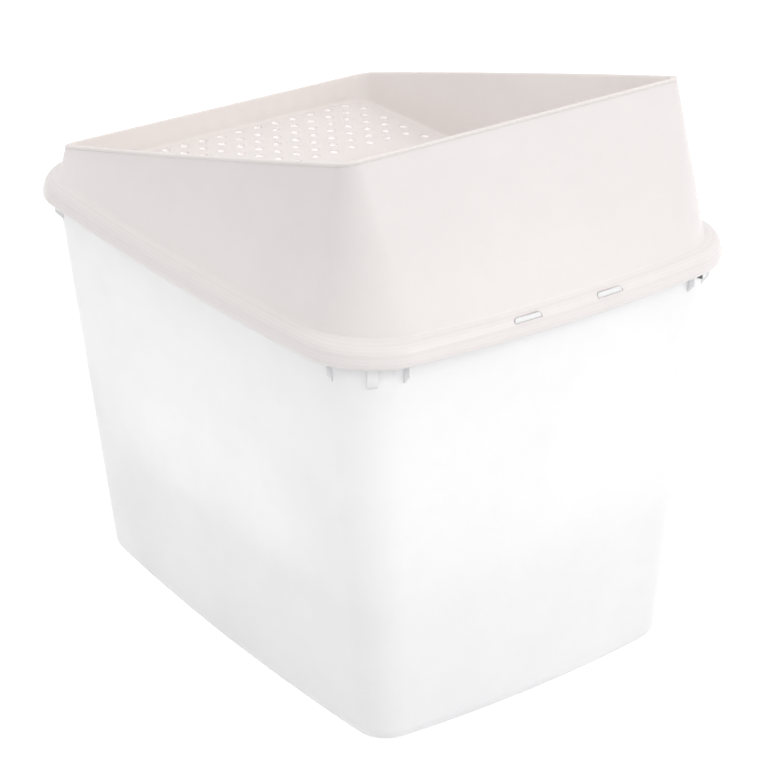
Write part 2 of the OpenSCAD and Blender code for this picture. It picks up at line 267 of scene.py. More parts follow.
def level(points, z):
    """An outline at one height."""
    return np.column_stack([points, np.full(len(points), z)])


def sloped(points, drop):
    """An outline on the sloping plane of the rim, moved down."""
    h = settings("lb_hood")
    slope = (h.rim_high - h.rim_low) / (h.rim_front + h.rim_rear)
    return np.column_stack([points, h.rim_low + (points[:, 0] + h.rim_front) * slope - drop])


# Surfaces

def rounded_rows(rings, rounds, closed):
    """Rows of points of a surface that runs straight from ring to ring.

    Where a ring's round is over 0, its corner is the quadratic curve a (1-t)^2 + 2 b t (1-t)
    + c t^2 between the points that far along the spans before and after it. Long spans get
    even rows, and one more row close to each end, which keeps the shading flat.
    Returns the rows and, for each row, how much of an edge it is, from 0 to 1.
    """
    count = len(rings)
    blocks, marks = [], []
    for k in range(count):
        here, d = rings[k], rounds[k]
        inside = closed or 0 < k < count - 1
        if d > 0 and inside:
            before, after = rings[k - 1] - here, rings[(k + 1) % count] - here
            reach = [np.minimum(d / np.linalg.norm(w, axis=1, keepdims=True),
                                ROUND_SHARE)
                     for w in (before, after)]
            a, c = here + before * reach[0], here + after * reach[1]
            t = np.linspace(0.0, 1.0, ROUND_STEPS + 1)[:, None, None]
            blocks.append(a * (1 - t) ** 2 + 2 * here * t * (1 - t) + c * t ** 2)
            marks.append(1 - np.abs(2 * t[:, 0, 0] - 1) ** 2)
        else:
            blocks.append(here[None])
            marks.append(np.zeros(1))
    rows, edge = [], []
    for k in range(count):
        rows.append(blocks[k])
        edge.append(marks[k])
        if not closed and k == count - 1:
            break
        start, end = blocks[k][-1], blocks[(k + 1) % count][0]
        span = np.linalg.norm(end - start, axis=1).max()
        if span < 4 * SUPPORT:
            continue
        inner = np.linspace(0.0, 1.0, int(span / SPAN) + 2)[1:-1]
        t = np.concatenate([[SUPPORT / span], inner, [1 - SUPPORT / span]])
        rows.append(start[None] * (1 - t[:, None, None]) + end[None] * t[:, None, None])
        edge.append(np.zeros(len(t)))
    return np.concatenate(rows), np.concatenate(edge)


def row_faces(row_count, n, closed, joined=True):
    """Quads between rows of n points each. Where joined is set, the last point of a row
    joins its first."""
    i, j = np.meshgrid(np.arange(row_count if closed else row_count - 1),
                       np.arange(n if joined else n - 1), indexing="ij")
    up, right = (i + 1) % row_count, (j + 1) % n
    quads = np.stack([i * n + j, i * n + right, up * n + right, up * n + j], axis=2)
    return quads.reshape(-1, 4).tolist()


class Shape:
    """Points, faces and edge marks of one piece, put together from surfaces."""

    def __init__(self):
        self.points, self.faces, self.marks, self.flat, self.size = [], [], [], [], 0

    def add(self, points, faces, marks, flat=False):
        """Adds points, faces on them and how much of an edge each point is."""
        points = np.asarray(points).reshape(-1, 3)
        self.faces += [[v + self.size for v in f] for f in faces]
        self.flat += [flat] * len(faces)
        self.points.append(points)
        self.marks.append(np.broadcast_to(marks, len(points)))
        self.size += len(points)

    def sweep(self, rings, rounds, closed, caps=False):
        """Surface through the rings, with a flat face on each end where caps is set."""
        rows, edge = rounded_rows(rings, rounds, closed)
        n = rows.shape[1]
        marks = np.repeat(edge, n)
        self.add(rows, row_faces(len(rows), n, closed), marks)
        if caps:
            self.add(rows[0], [list(range(n))[::-1]], 0.0, flat=True)
            self.add(rows[-1], [list(range(n))], 0.0, flat=True)

    def piece(self, name, body, slot, nodes=()):
        """Welds the surfaces, turns the faces outward and makes the object."""
        mesh = bpy.data.meshes.new(name)
        mesh.from_pydata(np.concatenate(self.points).tolist(), [], self.faces)
        mesh.polygons.foreach_set("use_smooth", ~np.array(self.flat))
        mark = mesh.attributes.new("edge", "FLOAT", "POINT")
        mark.data.foreach_set("value", np.concatenate(self.marks).astype(np.float32))
        work = bmesh.new()
        work.from_mesh(mesh)
        bmesh.ops.remove_doubles(work, verts=work.verts, dist=TINY)
        bmesh.ops.recalc_face_normals(work, faces=work.faces)
        if work.calc_volume(signed=True) < 0:
            bmesh.ops.reverse_faces(work, faces=work.faces)
        work.to_mesh(mesh)
        work.free()
        # Marking the sharp edges makes every face smooth, so the flags are put back
        smooth = np.empty(len(mesh.polygons), dtype=bool)
        mesh.polygons.foreach_get("use_smooth", smooth)
        mesh.set_sharp_from_angle(angle=SHARP_ANGLE)
        mesh.polygons.foreach_set("use_smooth", smooth)
        made = bpy.data.objects.new(name, mesh)
        bpy.context.scene.collection.objects.link(made)
        if body:
            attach(made, body)
        if nodes:
            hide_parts(*nodes)
        return made


# Materials

def new_group(name, inputs, outputs):
    """An empty shader node group with its sockets, and its input and output nodes."""
    tree = bpy.data.node_groups.new(name, "ShaderNodeTree")
    for label, kind, value in inputs:
        socket = tree.interface.new_socket(label, in_out="INPUT", socket_type=kind)
        if value is not None:
            socket.default_value = value
    for label, kind in outputs:
        tree.interface.new_socket(label, in_out="OUTPUT", socket_type=kind)
    return tree, tree.nodes.new("NodeGroupInput"), tree.nodes.new("NodeGroupOutput")


def noise(tree, vector, scale, detail=3.0, rough=0.5):
    """A noise texture on the given coordinates."""
    node = tree.nodes.new("ShaderNodeTexNoise")
    node.inputs["Detail"].default_value = detail
    node.inputs["Roughness"].default_value = rough
    tree.links.new(vector, node.inputs["Vector"])
    if isinstance(scale, (int, float)):
        node.inputs["Scale"].default_value = scale
    else:
        tree.links.new(scale, node.inputs["Scale"])
    return node.outputs["Fac"]


def calc(tree, kind, a, b=None, c=None):
    """A math node on numbers or sockets."""
    node = tree.nodes.new("ShaderNodeMath")
    node.operation = kind
    for k, value in enumerate((a, b, c)):
        if value is None:
            continue
        if isinstance(value, (int, float)):
            node.inputs[k].default_value = value
        else:
            tree.links.new(value, node.inputs[k])
    return node.outputs[0]


def ramp(tree, value, low, high, out_low, out_high):
    """A value moved from one range to another, smoothly."""
    node = tree.nodes.new("ShaderNodeMapRange")
    node.interpolation_type = "SMOOTHSTEP"
    for label, number in (("From Min", low), ("From Max", high)):
        node.inputs[label].default_value = number
    for label, number in (("To Min", out_low), ("To Max", out_high)):
        if isinstance(number, (int, float)):
            node.inputs[label].default_value = number
        else:
            tree.links.new(number, node.inputs[label])
    tree.links.new(value, node.inputs["Value"])
    return node.outputs["Result"]


def blend_colour(tree, share_of_b, a, b):
    """A mix of two colours."""
    node = tree.nodes.new("ShaderNodeMix")
    node.data_type = "RGBA"
    for k, value in (("Factor", share_of_b), ("A", a), ("B", b)):
        socket = next(s for s in node.inputs if s.name == k and s.enabled)
        if isinstance(value, (int, float, tuple)):
            socket.default_value = value
        else:
            tree.links.new(value, socket)
    return next(s for s in node.outputs if s.enabled)


def moulded_grain_group():
    """Height of a moulded surface: spark-eroded grain, and slow waves left by shrinking."""
    tree, enter, leave = new_group(
        "moulded grain",
        [("Vector", "NodeSocketVector", None), ("Grain scale", "NodeSocketFloat", 1500.0),
         ("Grain share", "NodeSocketFloat", 0.5)],
        [("Height", "NodeSocketFloat")])
    vector, scale, part = enter.outputs[0], enter.outputs[1], enter.outputs[2]
    grain = noise(tree, vector, scale, 4.0, 0.65)
    waves = noise(tree, vector, 14.0, 1.0, 0.4)
    fine = calc(tree, "MULTIPLY", calc(tree, "SUBTRACT", grain, 0.5), part)
    slow = calc(tree, "MULTIPLY", calc(tree, "SUBTRACT", waves, 0.5), 2.0)
    tree.links.new(calc(tree, "ADD", fine, slow), leave.inputs[0])
    return tree


def resin_tone_group():
    """Colour of moulded resin: slow drift of tone, faint flow marks and a fine speckle."""
    tree, enter, leave = new_group(
        "resin tone",
        [("Vector", "NodeSocketVector", None), ("Light", "NodeSocketColor", (1, 1, 1, 1)),
         ("Deep", "NodeSocketColor", (0.8, 0.8, 0.8, 1))],
        [("Color", "NodeSocketColor")])
    vector = enter.outputs[0]
    drift = noise(tree, vector, 5.0, 2.0, 0.5)
    flow = noise(tree, vector, 38.0, 3.0, 0.6)
    speck = noise(tree, vector, 900.0, 2.0, 0.5)
    total = calc(tree, "ADD", calc(tree, "MULTIPLY", drift, 0.55),
                 calc(tree, "MULTIPLY", flow, 0.25))
    total = calc(tree, "ADD", total, calc(tree, "MULTIPLY", speck, 0.2))
    depth = ramp(tree, total, 0.36, 0.64, 0.0, 1.0)
    tree.links.new(blend_colour(tree, depth, enter.outputs[1], enter.outputs[2]),
                   leave.inputs[0])
    return tree


def handled_gloss_group():
    """Roughness of handled plastic: smoother patches, matter patches and fine scuffs."""
    tree, enter, leave = new_group(
        "handled gloss",
        [("Vector", "NodeSocketVector", None), ("Smooth", "NodeSocketFloat", 0.35),
         ("Matt", "NodeSocketFloat", 0.5)],
        [("Roughness", "NodeSocketFloat")])
    vector = enter.outputs[0]
    patches = noise(tree, vector, 22.0, 4.0, 0.6)
    stretch = tree.nodes.new("ShaderNodeMapping")
    stretch.inputs["Scale"].default_value = (60.0, 60.0, 900.0)
    tree.links.new(vector, stretch.inputs["Vector"])
    scuffs = noise(tree, stretch.outputs[0], 1.0, 2.0, 0.5)
    both = calc(tree, "ADD", calc(tree, "MULTIPLY", patches, 0.7),
                calc(tree, "MULTIPLY", scuffs, 0.3))
    tree.links.new(ramp(tree, both, 0.38, 0.62, enter.outputs[1], enter.outputs[2]),
                   leave.inputs[0])
    return tree


def edge_highlight_and_rubbing_group():
    """Mask of rounded edges, where the colour gets a painted highlight and the gloss of
    rubbing: the mesh's own edge marks, broken up by noise.
    """
    tree, enter, leave = new_group(
        "edge highlight and rubbing",
        [("Vector", "NodeSocketVector", None), ("Amount", "NodeSocketFloat", 0.5)],
        [("Mask", "NodeSocketFloat")])
    mark = tree.nodes.new("ShaderNodeAttribute")
    mark.attribute_name = "edge"
    breaks = ramp(tree, noise(tree, enter.outputs[0], 160.0, 3.0, 0.6), 0.3, 0.7, 0.45, 1.0)
    highlight_and_rubbing = calc(tree, "MULTIPLY", mark.outputs["Fac"], breaks)
    tree.links.new(calc(tree, "MULTIPLY", highlight_and_rubbing, enter.outputs[1]), leave.inputs[0])
    return tree


def shared_group(name, make):
    """The node group of that name, made the first time it is asked for."""
    return bpy.data.node_groups.get(name) or make()


def place(tree, name, make, vector, **values):
    """Puts a shared group into a material and sets its inputs."""
    node = tree.nodes.new("ShaderNodeGroup")
    node.node_tree = shared_group(name, make)
    tree.links.new(vector, node.inputs["Vector"])
    for label, value in values.items():
        node.inputs[label.replace("_", " ")].default_value = value
    return node.outputs[0]


# Tones of the plastic as shares of its own colour: lightest, darkest and the painted
# highlight on rounded edges
LIGHT_TONE, DEEP_TONE, EDGE_HIGHLIGHT_TONE, EDGE_HIGHLIGHT_LIFT = 1.015, 0.975, 1.07, 0.01
# Roughness that a rubbed edge loses, depth of the grain, and reach of light below the skin
RUBBED_GLOSS, GRAIN_DEPTH, LIGHT_REACH = 0.12, 0.00002, 0.006
PLASTIC_IOR = 1.46


def moulded_plastic(name, rgb, smooth, matt, translucent, grain=1500.0, highlight_and_rubbing_amount=0.5):
    """Moulded polypropylene with its grain, tone and gloss, and rounded edges that are made
    glossier by rubbing and lightened by a painted highlight.
    """
    made = bpy.data.materials.new(name)
    made.use_nodes = True
    tree = made.node_tree
    shader = tree.nodes["Principled BSDF"]
    vector = tree.nodes.new("ShaderNodeTexCoord").outputs["Object"]
    light = tuple(min(c * LIGHT_TONE, 1.0) for c in rgb) + (1.0,)
    deep = tuple(c * DEEP_TONE for c in rgb) + (1.0,)
    painted_edge_highlight = tuple(min(c * EDGE_HIGHLIGHT_TONE + EDGE_HIGHLIGHT_LIFT, 1.0) for c in rgb) + (1.0,)
    tone = place(tree, "resin tone", resin_tone_group, vector, Light=light, Deep=deep)
    highlight_and_rubbing_mask = place(tree, "edge highlight and rubbing", edge_highlight_and_rubbing_group, vector, Amount=highlight_and_rubbing_amount)
    # Rounded edges are lightened here: a painted highlight in the base colour
    tree.links.new(blend_colour(tree, highlight_and_rubbing_mask, tone, painted_edge_highlight), shader.inputs["Base Color"])
    gloss = place(tree, "handled gloss", handled_gloss_group, vector, Smooth=smooth,
                  Matt=matt)
    polished = calc(tree, "SUBTRACT", gloss,
                    calc(tree, "MULTIPLY", highlight_and_rubbing_mask, RUBBED_GLOSS))
    tree.links.new(polished, shader.inputs["Roughness"])
    height = place(tree, "moulded grain", moulded_grain_group, vector, Grain_scale=grain)
    bump = tree.nodes.new("ShaderNodeBump")
    bump.inputs["Strength"].default_value = 1.0
    bump.inputs["Distance"].default_value = GRAIN_DEPTH
    tree.links.new(height, bump.inputs["Height"])
    tree.links.new(bump.outputs["Normal"], shader.inputs["Normal"])
    shader.inputs["IOR"].default_value = PLASTIC_IOR
    shader.inputs["Subsurface Weight"].default_value = translucent
    shader.inputs["Subsurface Radius"].default_value = (LIGHT_REACH,) * 3
    shader.inputs["Subsurface Scale"].default_value = 1.0
    return made


def white_plastic(name):
    """The bin's plastic, which the hooks share."""
    return moulded_plastic(name, tuple(settings("lb_bin").colour), 0.30, 0.42,
                           translucent=0.4, grain=1300.0, highlight_and_rubbing_amount=0.35)


def dress(made, material):
    """Gives an object one material."""
    made.data.materials.clear()
    made.data.materials.append(material)


# Pieces

# Place of each gusset along a corner and of both ends of the web, in degrees
OUTER_GUSSETS, MIDDLE_GUSSET, WEB_ENDS = (0, 75), 30, (15, 60)
# Rings of the hood: distance in from the lip, and height over its foot or the shoulder
LIP_OUTSIDE = ((0.0016, 0.0), (0.0, 0.0020), (0.0002, 0.0052), (0.0011, 0.0075))
SHOULDER_OUTSIDE = ((0.0020, -0.0007), (0.0036, 0.0015), (0.0056, 0.0033))
SHOULDER_INSIDE = ((0.0051, -0.003), (0.0042, -0.0041))
LIP_INSIDE = ((0.0026, 0.0049), (0.0032, 0.0))
# Size of the round at each ring of a piece, where 0 is a sharp edge
HOOD_ROUNDS = (0.0005, 0.0011, 0.0009, 0.0009, 0.0011, 0.0011, 0.0010, 0.0018, 0.0008,
               0.0001, 0.0001, 0.001, 0.0005, 0.0005, 0.0005, 0.0005, 0.0005)
BIN_RIM_ROUNDS = (0.0014, 0.0005, 0.0005, 0.0005, 0.001, 0.0012)
TRAY_ROUNDS = (0, 0.003, 0.0001, 0.0001, 0.0011, 0.0011, 0.003, 0)
COLLAR_ROUNDS = (0, 0.0016, 0.0006, 0.0006, 0.0006, 0)


def heights():
    """Heights that follow from the bin's rim: shoulder, lip and foot of the hood wall."""
    b, h = settings("lb_bin"), settings("lb_hood")
    shoulder_over_rim = 0.0015
    shoulder = b.height + shoulder_over_rim
    return shoulder, shoulder - h.skirt, shoulder + h.shoulder_rise


class LITTERBOX_OT_bin(bpy.types.Operator):
    """Builds the bin: tapered bowed walls, rounded foot, turned-out rim and gussets"""

    bl_idname = "litterbox.bin"
    bl_label = "Bin"

    def execute(self, context):
        b, h = settings("lb_bin"), settings("lb_hood")
        top = b.height
        rim_inset = h.bin_inset - b.rim_reach
        outside, inside = self.foot(0.0), self.foot(b.wall)
        upper = [
            level(bin_outline(top - b.rim, 0), top - b.rim),
            level(lip_outline(rim_inset + b.rim), top - b.rim),
            level(lip_outline(rim_inset + b.rim), top - b.rim_drop),
            level(lip_outline(rim_inset), top - b.rim_drop),
            level(lip_outline(rim_inset), top),
            level(bin_outline(top, b.wall), top),
        ]
        rounds = [0] * len(outside) + list(BIN_RIM_ROUNDS) + [0] * len(inside)
        shape = Shape()
        shape.sweep(outside + upper + inside[::-1], rounds, closed=False, caps=True)
        self.webs(shape, rim_inset)
        bin_shell = shape.piece("bin_shell", "base_bin", "bin_white", ["bin"])
        finish = white_plastic("bin white moulded")
        dress(bin_shell, finish)
        dress(self.gussets(rim_inset), finish)
        return {"FINISHED"}

    def foot(self, inset):
        """Rings of the rounded foot: with r = foot_round - inset, a ring at turn a lies
        inset + r * (1 - sin a) inside the wall, at a height of inset + r * (1 - cos a)."""
        r = settings("lb_bin").foot_round - inset
        rings = []
        for turn in np.linspace(0.0, math.pi / 2, FOOT_STEPS + 1):
            z = inset + r * (1 - math.cos(turn))
            rings.append(level(bin_outline(z, inset + r * (1 - math.sin(turn))), z))
        return rings

    @staticmethod
    def corner_step(degrees):
        """Number of the outline's point that far round a corner."""
        return round(degrees / 90 * ARC)

    @staticmethod
    def corner(rim_inset, z):
        """Rim's edge, outward normal and distance in to the wall at height z, along one
        corner: the gap is the dot product of the normal with edge - wall."""
        edge = lip_outline(rim_inset)[:ARC + 1]
        turn = np.linspace(0.0, math.pi / 2, ARC + 1)
        out = np.stack([np.cos(turn), np.sin(turn)], axis=1)
        gap = ((edge - bin_outline(z, 0)[:ARC + 1]) * out).sum(axis=1)
        return edge, out, gap

    def webs(self, shape, rim_inset):
        """A thick web behind the rim's edge in each corner, round the middle gusset: its
        section with one rounded edge is carried along part of the corner arc."""
        b = settings("lb_bin")
        low, high = b.height - b.web_drop, b.height - b.rim / 2
        first, last = (self.corner_step(degrees) for degrees in WEB_ENDS)
        edge, out, gap = self.corner(rim_inset, low)
        face, soft, bulge = b.rim - BURY, 0.0008, 0.3
        section = [(face, high), (face, low + soft),
                   (face + soft * bulge, low + soft * bulge), (face + soft, low),
                   (None, low)]
        rows = np.stack([np.column_stack([
            edge - out * (gap[:, None] + BURY if depth is None else depth),
            np.full(len(edge), z)]) for depth, z in section], axis=1)[first:last + 1]
        faces = row_faces(len(rows), len(section), closed=False, joined=False)
        for sx, sy in CORNERS:
            shape.add(rows * [sx, sy, 1], faces, 0.0)

    def gussets(self, rim_inset):
        """Three gussets under the rim at each corner: a wedge between the bin's wall and the
        rim, swept across its width and turned to the corner's normal."""
        b = settings("lb_bin")
        high = b.height - b.rim / 2
        sheet_size, softened = 4, 0.0004
        quads = [[v, (v + 1) % sheet_size, (v + 1) % sheet_size + sheet_size, v + sheet_size]
                 for v in range(sheet_size)]
        quads += [list(range(sheet_size)), list(range(sheet_size, 2 * sheet_size))]
        outer = [(degrees, b.rib, b.rib_drop, 0.0) for degrees in OUTER_GUSSETS]
        middle = (MIDDLE_GUSSET, b.gusset, b.gusset_drop, b.gusset_slide)
        shape = Shape()
        for degrees, width, drop, slide in (outer[0], middle, outer[1]):
            k = self.corner_step(degrees)
            low = b.height - drop
            edge, outward, foot_gap = self.corner(rim_inset, low)
            high_gap = self.corner(rim_inset, high)[2]
            side = np.array([
                [-BURY, high], [-BURY, b.height - b.gusset_edge],
                [-foot_gap[k] - BURY, low], [-high_gap[k] - BURY, high]])
            out = outward[k]
            along = np.array([-out[1], out[0]])
            at = edge[k] + along * slide
            sheets = []
            for shift in (-width / 2, width / 2):
                flat = at + out * side[:, :1] + along * shift
                sheets.append(np.column_stack([flat, side[:, 1]]))
            for sx, sy in CORNERS:
                shape.add(np.concatenate(sheets) * [sx, sy, 1], quads, 0.0)
        made = shape.piece("bin_gussets", "base_bin", "bin_white")
        bevel = made.modifiers.new("rounded", "BEVEL")
        bevel.width = softened
        bevel.segments = 2
        bevel.limit_method = "ANGLE"
        return made


class LITTERBOX_OT_hood(bpy.types.Operator):
    """Builds the hood: lip, shoulder with windows and a wall with a sloping rim"""

    bl_idname = "litterbox.hood"
    bl_label = "Hood"

    def execute(self, context):
        b, h, s = settings("lb_bin"), settings("lb_hood"), settings("lb_tray")
        shoulder, lip_z, foot = heights()
        rim_inset = h.bin_inset - b.rim_reach
        wall_in = h.shoulder + h.wall
        crest_in, crest_drop, inner_drop = 0.0018, 0.0013, 0.0009
        ledge_in, seam = 0.0006, 0.00006
        drop = s.bead + seam

        def rings(profile, base):
            return [level(lip_outline(inset), base + rise) for inset, rise in profile]

        shape = Shape()
        shape.sweep(rings(LIP_OUTSIDE, lip_z) + rings(SHOULDER_OUTSIDE, shoulder) + [
            level(lip_outline(h.shoulder - crest_in), foot - crest_drop),
            level(lip_outline(h.shoulder, h.foot_corner), foot),
            sloped(rim_outline(0), drop),
            sloped(rim_outline(h.wall), drop),
            level(lip_outline(wall_in, h.foot_corner - h.wall), foot - inner_drop),
            level(lip_outline(rim_inset + ledge_in), b.height + SEAT_GAP),
        ] + rings(SHOULDER_INSIDE, shoulder) + rings(LIP_INSIDE, lip_z), HOOD_ROUNDS,
            closed=True)
        shell = shape.piece("hood_shell", "lid", "hood_grey", ["hood"])
        self.cut_windows(shell, shoulder, foot)
        dress(shell, moulded_plastic("hood warm grey moulded", tuple(h.colour), 0.34, 0.46,
                                     translucent=0.2))
        return {"FINISHED"}

    def cut_windows(self, shell, shoulder, foot):
        """Cuts two windows with round inner corners into the shoulder at each end, and a
        slot under each for the hook's neck, turned to the lip's bowed end."""
        h = settings("lb_hood")
        window_z, slot_z = shoulder - 0.0007, shoulder - 0.004
        slot_out, slot_in, slot_half = 0.0039, 0.0065, 0.0094
        past_lip, arc_points = 0.02, 7
        arc = np.linspace(0, math.pi / 2, arc_points)
        r = h.window_corner
        half = h.window / 2
        corner = np.stack([r - r * np.cos(arc), -half + r - r * np.sin(arc)], axis=1)
        plan = np.concatenate([corner, [[past_lip, -half], [past_lip, half]],
                               corner[::-1] * [1, -1]]) - [h.window_reach, 0]
        turn = math.atan(2 * h.lip_end_bow * h.window_offset / (h.lip_width / 2) ** 2)
        slot = np.array([[-slot_in, -slot_half], [-slot_out, -slot_half],
                         [-slot_out, slot_half], [-slot_in, slot_half]])
        slot = slot @ np.array([[math.cos(turn), math.sin(turn)],
                                [-math.sin(turn), math.cos(turn)]])
        end_x = h.lip_length / 2 + h.lip_end_bow * (
            1 - (2 * h.window_offset / h.lip_width) ** 2)
        cutters = []
        for end in (-1, 1):
            for hand in (-1, 1):
                for xy, low, high in ((plan, window_z, foot), (slot, slot_z, shoulder)):
                    shape = Shape()
                    placed = (xy + [end_x, h.window_offset]) * [end, hand]
                    shape.sweep([level(placed, low), level(placed, high)], [0, 0],
                                closed=False, caps=True)
                    cutters.append(shape.piece("window_cutter", None, None))
        for cutter in cutters:
            cut = shell.modifiers.new("window", "BOOLEAN")
            cut.object = cutter
            cut.operation = "DIFFERENCE"
            cut.solver = "EXACT"
        view = bpy.context.evaluated_depsgraph_get()
        shell.data = bpy.data.meshes.new_from_object(shell.evaluated_get(view))
        shell.modifiers.clear()
        for cutter in cutters:
            bpy.data.objects.remove(cutter)
        shell.data.set_sharp_from_angle(angle=SHARP_ANGLE)


class LITTERBOX_OT_tray(bpy.types.Operator):
    """Builds the step tray: rim bead, inner walls, perforated step, entry and collar"""

    bl_idname = "litterbox.tray"
    bl_label = "Step tray"

    def execute(self, context):
        h, s = settings("lb_hood"), settings("lb_tray")
        under = s.step - s.thick
        ledge, lip = 0.0035, 0.003
        reach = h.wall + SEAT_GAP + s.wall
        shape = Shape()
        shape.sweep([
            level(step_outline(-ledge), under),
            level(step_outline(s.wall), under),
            sloped(rim_outline(h.wall + SEAT_GAP), s.bead),
            sloped(rim_outline(0), s.bead),
            sloped(rim_outline(0), 0),
            sloped(rim_outline(reach), 0),
            level(step_outline(0), s.step),
            level(step_outline(-ledge), s.step),
        ], TRAY_ROUNDS, closed=False)
        shape.sweep([
            level(entry_outline(lip), s.step),
            level(entry_outline(0), s.step),
            level(entry_outline(0), s.step - s.collar),
            level(entry_outline(s.wall), s.step - s.collar),
            level(entry_outline(s.wall), under),
            level(entry_outline(lip), under),
        ], COLLAR_ROUNDS, closed=False)
        self.step(shape, step_outline(-ledge), entry_outline(lip), lip, under)
        tray = shape.piece("step_tray_shell", "tray", "tray_grey", ["step_tray"])
        dress(tray, moulded_plastic("tray warm grey moulded", tuple(s.colour), 0.36, 0.48,
                                    translucent=0.2))
        return {"FINISHED"}

    def hole_centres(self):
        """Rows of holes, every other row set over by half a pitch, kept clear of the walls
        and of the entry opening."""
        s = settings("lb_tray")
        columns = math.ceil(s.width / s.hole_pitch / 2)
        row, k = np.meshgrid(np.arange(s.rows), np.arange(-columns, columns + 1),
                             indexing="ij")
        p = np.stack([s.hole_margin - s.front + row * s.row_pitch,
                      (k + (row + 1) % 2 / 2) * s.hole_pitch], axis=2).reshape(-1, 2)
        wall = self.box_distance(p, s.front, s.rear, s.width / 2, s.corner)
        entry = self.box_distance(p, s.entry_front, s.entry_rear, s.entry_width / 2,
                                  s.entry_corner)
        return p[(wall <= -s.hole_margin + TINY) & (entry >= s.entry_margin)]

    @staticmethod
    def box_distance(p, front, rear, half, r):
        """Distance from points out to a rectangle with round corners."""
        q = np.stack([np.abs(p[:, 0] - (rear - front) / 2) - (rear + front) / 2 + r,
                      np.abs(p[:, 1]) - half + r], axis=1)
        return np.linalg.norm(np.maximum(q, 0), axis=1) - r

    def step(self, shape, outer, entry, lip, under):
        """The flat step: triangles between its outline, the opening and the holes, on the
        top and the underside, and a tube with softened ends through each hole."""
        s = settings("lb_tray")
        centres = self.hole_centres()
        n, soft, merge, inside_share = 28, 0.0004, 1e-7, 0.97
        turn = np.linspace(0, 2 * math.pi, n, endpoint=False)
        circle = np.stack([np.cos(turn), np.sin(turn)], axis=1)
        radius = s.hole / 2
        rims = centres[:, None] + circle[None] * (radius + soft)
        loops = [outer, entry] + list(rims)
        points = np.concatenate(loops)
        edges, start = [], 0
        for loop in loops:
            k = np.arange(len(loop))
            edges += np.stack([k + start, (k + 1) % len(loop) + start], axis=1).tolist()
            start += len(loop)
        found = delaunay_2d_cdt([Vector(p) for p in points.tolist()], edges, [], 0,
                                merge)
        flat = np.array([list(v) for v in found[0]])
        triangles = np.array([list(f) for f in found[2]])
        middle = flat[triangles].mean(axis=1)
        in_entry = self.box_distance(middle, s.entry_front + lip, s.entry_rear + lip,
                                     s.entry_width / 2 + lip, s.entry_corner + lip) < 0
        gap = np.linalg.norm(middle[:, None] - centres[None], axis=2).min(axis=1)
        keep = triangles[~in_entry & (gap > (radius + soft) * inside_share)]
        for z in (s.step, under):
            shape.add(level(flat, z), keep.tolist(), 0.0, flat=True)
        profile = ((radius + soft, s.step), (radius, s.step - soft), (radius, under + soft),
                   (radius + soft, under))
        rows = np.stack([np.concatenate(
            [centres[:, None] + circle[None] * r,
             np.full((len(centres), n, 1), z)], axis=2) for r, z in profile], axis=1)
        for tube in rows:
            shape.add(tube, row_faces(len(profile), n, False), 0.0)


class LITTERBOX_OT_hooks(bpy.types.Operator):
    """Finishes the four snap hooks whose heads fill the windows"""

    bl_idname = "litterbox.hooks"
    bl_label = "Snap hooks"

    def execute(self, context):
        finish = white_plastic("hook white moulded")
        for name in ("rear_hook_left", "rear_hook_right", "front_hook_left",
                     "front_hook_right"):
            dress(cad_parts[name], finish)
        return {"FINISHED"}


# Stage

PHOTO_WIDTH, PHOTO_HEIGHT = 780, 781
CAMERA_PLACE = (1.50482, -1.05645, 1.07064)
CAMERA_AZIMUTH, CAMERA_ELEVATION, CAMERA_ROLL = 54.930, 25.716, -0.868
CAMERA_FOCUS = 2494.11
CAMERA_CENTRE = (373.752, 390.296)
SENSOR = 36.0
# Place and size of each lamp, and the point that they face
KEY_LAMP = ((2.3, 0.9, 1.7), 1.4)
TOP_LAMP = ((-0.3, -0.2, 2.6), 2.2)
FILL_LAMP = ((0.0, 0.0, 0.12), 0.25)
LAMP_TARGET = (0.0, 0.0, 0.25)
# Half the floor's width, and how far it lies under the bin
FLOOR_HALF, FLOOR_DROP = 4.0, 0.0002
WHITE = (1.0, 1.0, 1.0, 1.0)


def any_view_ray(tree):
    """1 for rays from the camera, mirrors and glass, which all see a white surround."""
    rays = tree.nodes.new("ShaderNodeLightPath")
    seen = calc(tree, "MAXIMUM", rays.outputs["Is Camera Ray"],
                rays.outputs["Is Glossy Ray"])
    return calc(tree, "MAXIMUM", seen, rays.outputs["Is Transmission Ray"])


